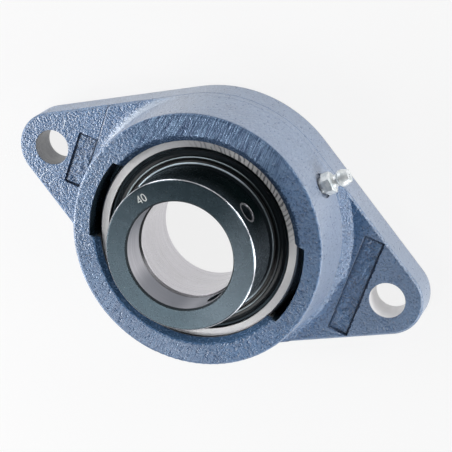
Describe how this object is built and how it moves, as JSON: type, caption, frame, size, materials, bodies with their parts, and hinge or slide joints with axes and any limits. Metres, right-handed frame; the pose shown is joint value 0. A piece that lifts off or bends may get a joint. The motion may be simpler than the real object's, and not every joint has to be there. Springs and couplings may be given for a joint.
{
  "type": "mounted bearing",
  "caption": "Oval flange bearing unit with a self-aligning ball insert, an eccentric locking collar for the shaft and a grease nipple.",
  "frame": {"origin": "on the shaft axis at the mounting face, midway between the bolt holes", "axes": "+Z along the shaft axis out of the front, +X through one bolt hole, +Y on the grease nipple's side"},
  "size_m": [0.172, 0.102, 0.0544],
  "materials": {
    "paint": "satin paint on cast iron",
    "zinc": "zinc plated",
    "ball_steel": "polished",
    "spring_steel": "drawn wire",
    "ground_steel": "ground",
    "pressed_steel": "pressed sheet",
    "seal_steel": "blackened sheet",
    "rubber": "moulded",
    "black_oxide": "black oxide"
  },
  "bodies": {
    "housing": {"housing": "paint", "grease_nipple": "zinc", "nipple_spring": "spring_steel"},
    "nipple_ball": {"nipple_ball": "ball_steel"},
    "outer_ring": {"outer_ring": "ground_steel", "seal_frame_front": "seal_steel", "seal_rubber_front": "rubber", "seal_frame_rear": "seal_steel", "seal_rubber_rear": "rubber"},
    "inner_ring": {"inner_ring": "ground_steel", "flinger": "seal_steel"},
    "cage": {"cage_front": "pressed_steel", "cage_rear": "pressed_steel", "cage_rivets": "pressed_steel"},
    "locking_collar": {"locking_collar": "black_oxide"},
    "set_screw": {"set_screw": "black_oxide"},
    "ball_1": {"ball_1": "ball_steel"},
    "ball_2": {"ball_2": "ball_steel"},
    "ball_3": {"ball_3": "ball_steel"},
    "ball_4": {"ball_4": "ball_steel"},
    "ball_5": {"ball_5": "ball_steel"},
    "ball_6": {"ball_6": "ball_steel"},
    "ball_7": {"ball_7": "ball_steel"},
    "ball_8": {"ball_8": "ball_steel"},
    "ball_9": {"ball_9": "ball_steel"}
  },
  "joints": [
    {"name": "align_tilt", "type": "hinge", "parent": "housing", "child": "outer_ring", "pos_m": [0, 0, 0.0245], "axis": [1, 0, 0], "range_deg": [-2.5, 2.5]},
    {"name": "shaft_spin", "type": "hinge", "parent": "outer_ring", "child": "inner_ring", "pos_m": [0, 0, 0.0245], "axis": [0, 0, 1], "continuous": true},
    {"name": "cage_spin", "type": "hinge", "parent": "outer_ring", "child": "cage", "pos_m": [0, 0, 0.0245], "axis": [0, 0, 1], "continuous": true},
    {"name": "collar_turn", "type": "hinge", "parent": "inner_ring", "child": "locking_collar", "pos_m": [0.0009, 0, 0.0245], "axis": [0, 0, 1], "range_deg": [-90, 90]},
    {"name": "set_screw_travel", "type": "slide", "parent": "locking_collar", "child": "set_screw", "axis": [-0.8192, 0.5736, 0], "range_m": [-0.0015, 0.0023]},
    {"name": "nipple_ball_press", "type": "slide", "parent": "housing", "child": "nipple_ball", "axis": [-0.7009, -0.7133, 0], "range_m": [0, 0.0005], "stiffness_N_per_m": 150, "springref_m": -0.001, "deforming": ["nipple_spring"]},
    {"name": "ball_1_spin", "type": "hinge", "parent": "cage", "child": "ball_1", "pos_m": [0.03, 0, 0.0245], "axis": [0, 0, 1], "continuous": true},
    {"name": "ball_2_spin", "type": "hinge", "parent": "cage", "child": "ball_2", "pos_m": [0.02298, 0.01928, 0.0245], "axis": [0, 0, 1], "continuous": true},
    {"name": "ball_3_spin", "type": "hinge", "parent": "cage", "child": "ball_3", "pos_m": [0.00521, 0.02954, 0.0245], "axis": [0, 0, 1], "continuous": true},
    {"name": "ball_4_spin", "type": "hinge", "parent": "cage", "child": "ball_4", "pos_m": [-0.015, 0.02598, 0.0245], "axis": [0, 0, 1], "continuous": true},
    {"name": "ball_5_spin", "type": "hinge", "parent": "cage", "child": "ball_5", "pos_m": [-0.02819, 0.01026, 0.0245], "axis": [0, 0, 1], "continuous": true},
    {"name": "ball_6_spin", "type": "hinge", "parent": "cage", "child": "ball_6", "pos_m": [-0.02819, -0.01026, 0.0245], "axis": [0, 0, 1], "continuous": true},
    {"name": "ball_7_spin", "type": "hinge", "parent": "cage", "child": "ball_7", "pos_m": [-0.015, -0.02598, 0.0245], "axis": [0, 0, 1], "continuous": true},
    {"name": "ball_8_spin", "type": "hinge", "parent": "cage", "child": "ball_8", "pos_m": [0.00521, -0.02954, 0.0245], "axis": [0, 0, 1], "continuous": true},
    {"name": "ball_9_spin", "type": "hinge", "parent": "cage", "child": "ball_9", "pos_m": [0.02298, -0.01928, 0.0245], "axis": [0, 0, 1], "continuous": true}
  ],
  "couplings": [
    {"joint": "cage_spin", "follows": "shaft_spin", "ratio": 0.4},
    {"joint": "ball_1_spin", "follows": "shaft_spin", "ratio": -2.4},
    {"joint": "ball_2_spin", "follows": "shaft_spin", "ratio": -2.4},
    {"joint": "ball_3_spin", "follows": "shaft_spin", "ratio": -2.4},
    {"joint": "ball_4_spin", "follows": "shaft_spin", "ratio": -2.4},
    {"joint": "ball_5_spin", "follows": "shaft_spin", "ratio": -2.4},
    {"joint": "ball_6_spin", "follows": "shaft_spin", "ratio": -2.4},
    {"joint": "ball_7_spin", "follows": "shaft_spin", "ratio": -2.4},
    {"joint": "ball_8_spin", "follows": "shaft_spin", "ratio": -2.4},
    {"joint": "ball_9_spin", "follows": "shaft_spin", "ratio": -2.4}
  ]
}
